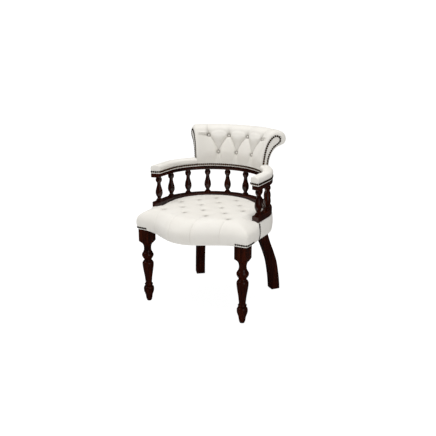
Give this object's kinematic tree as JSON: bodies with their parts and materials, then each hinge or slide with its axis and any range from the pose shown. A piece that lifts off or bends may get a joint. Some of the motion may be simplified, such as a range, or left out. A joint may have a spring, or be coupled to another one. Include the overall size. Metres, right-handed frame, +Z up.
{
  "type": "captains chair",
  "caption": "Low armchair with a deep-buttoned leather seat and rolled back on a bowed gallery of turned spindles, with turned front legs and swept rear legs.",
  "frame": {"origin": "on the floor, under the middle of the chair's box", "axes": "+Z up, -Y to the front where the sitter faces, +X to the sitter's left"},
  "size_m": [0.6182, 0.6966, 0.859],
  "materials": {
    "mahogany": "dark red-brown mahogany, gloss polish",
    "leather": "ivory leather, soft satin, fine grain",
    "frame_wood": "sawn hardwood and bent ply, unfinished",
    "webbing": "woven jute webbing",
    "dust_cloth": "black bottoming cloth"
  },
  "bodies": {
    "root": {"front_leg_right": "mahogany", "front_leg_left": "mahogany", "rear_leg_right": "mahogany", "rear_leg_left": "mahogany", "lower_rail": "mahogany", "upper_rail": "mahogany", "spindle_01": "mahogany", "spindle_02": "mahogany", "spindle_03": "mahogany", "spindle_04": "mahogany", "spindle_05": "mahogany", "spindle_06": "mahogany", "spindle_07": "mahogany", "spindle_08": "mahogany", "spindle_09": "mahogany", "spindle_10": "mahogany", "seat_rail_front": "frame_wood", "seat_rail_right": "frame_wood", "seat_rail_left": "frame_wood", "seat_rail_rear": "frame_wood", "front_corner_block_right": "frame_wood", "front_corner_block_left": "frame_wood", "rear_corner_block_right": "frame_wood", "rear_corner_block_left": "frame_wood", "seat_webbing": "webbing", "dust_cover": "dust_cloth", "seat_outer_band": "leather", "seat_cushion": "leather", "seat_button_01": "leather", "seat_button_02": "leather", "seat_button_03": "leather", "seat_button_04": "leather", "seat_button_05": "leather", "seat_button_06": "leather", "seat_button_07": "leather", "seat_button_08": "leather", "seat_button_09": "leather", "seat_button_10": "leather", "seat_button_11": "leather", "seat_button_12": "leather", "seat_button_13": "leather", "seat_button_14": "leather", "seat_button_15": "leather", "seat_button_16": "leather", "arm_board": "frame_wood", "arm_pad_right": "leather", "arm_pad_left": "leather", "back_panel": "frame_wood", "back_cushion": "leather", "back_button_1": "leather", "back_button_2": "leather", "back_button_3": "leather", "back_button_4": "leather", "back_button_5": "leather", "back_button_6": "leather", "back_button_7": "leather", "outside_back": "leather", "facing_right": "leather", "facing_left": "leather"}
  },
  "joints": []
}
